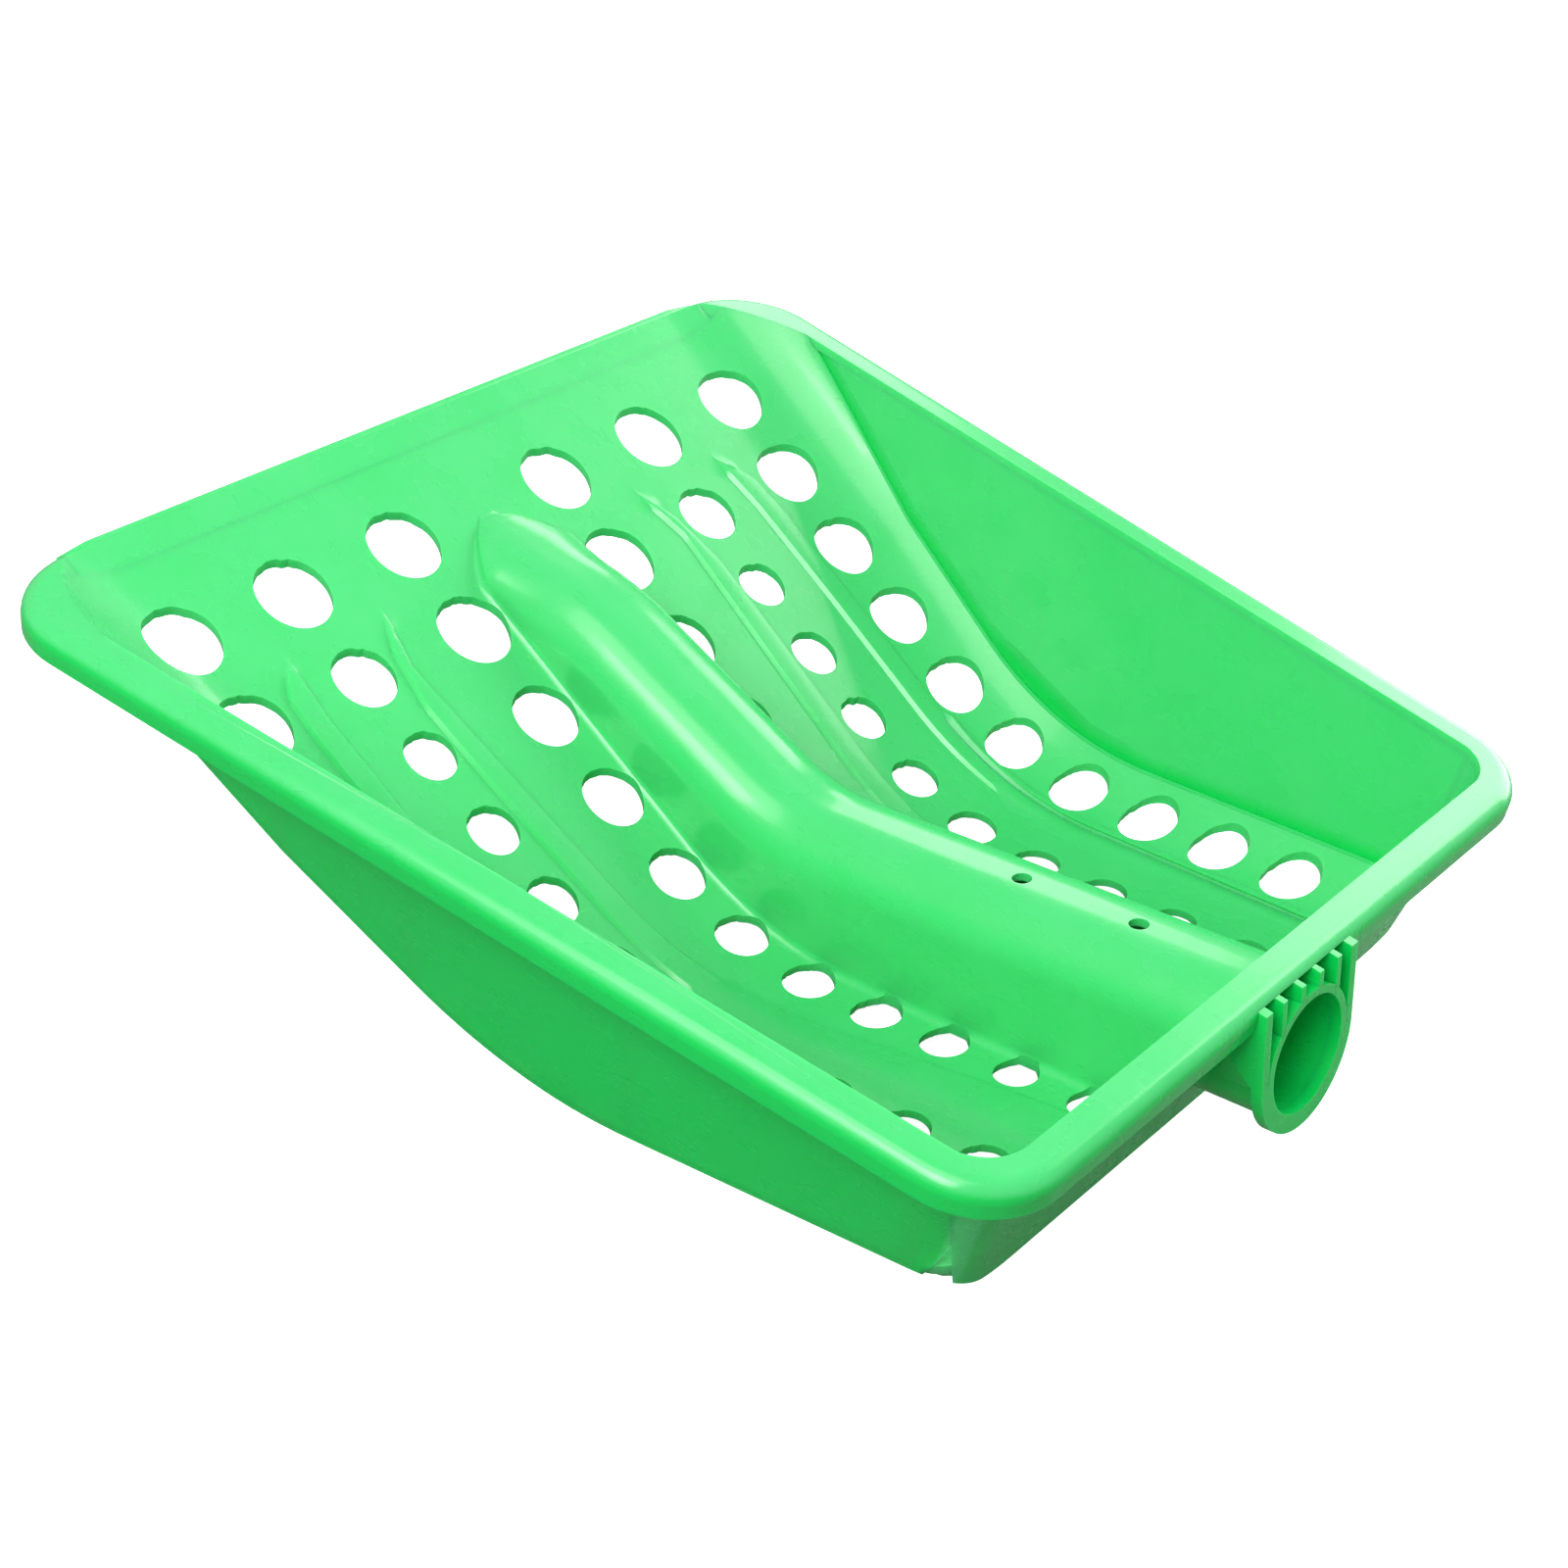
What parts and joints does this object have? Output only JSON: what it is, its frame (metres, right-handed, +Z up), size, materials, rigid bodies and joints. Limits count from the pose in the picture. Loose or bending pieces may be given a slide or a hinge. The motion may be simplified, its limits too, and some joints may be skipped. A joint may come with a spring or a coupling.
{
  "type": "sand sieve scoop head",
  "caption": "Perforated green plastic scoop head with a digging lip, stiffening ridge and rear socket for a pole.",
  "frame": {"origin": "centre of the scoop's bounding box in plan, at the lowest point of the floor", "axes": "+Z up with the rim plane level, +Y from the digging lip towards the pole socket, +X to the right seen from the socket's far side"},
  "size_m": [0.2362, 0.263, 0.0625],
  "materials": {
    "green_plastic": "glossy, slightly translucent moulded polypropylene"
  },
  "bodies": {
    "root": {"sieve_floor": "green_plastic", "digging_lip": "green_plastic", "rear_wall": "green_plastic", "rim_flange": "green_plastic", "centre_ridge": "green_plastic", "socket_tube": "green_plastic", "socket_collar": "green_plastic", "side_wall_left": "green_plastic", "side_wall_right": "green_plastic", "rib_inner_left": "green_plastic", "rib_inner_right": "green_plastic", "rib_outer_left": "green_plastic", "rib_outer_right": "green_plastic", "web_1": "green_plastic", "web_2": "green_plastic", "web_3": "green_plastic", "web_4": "green_plastic"}
  },
  "joints": []
}
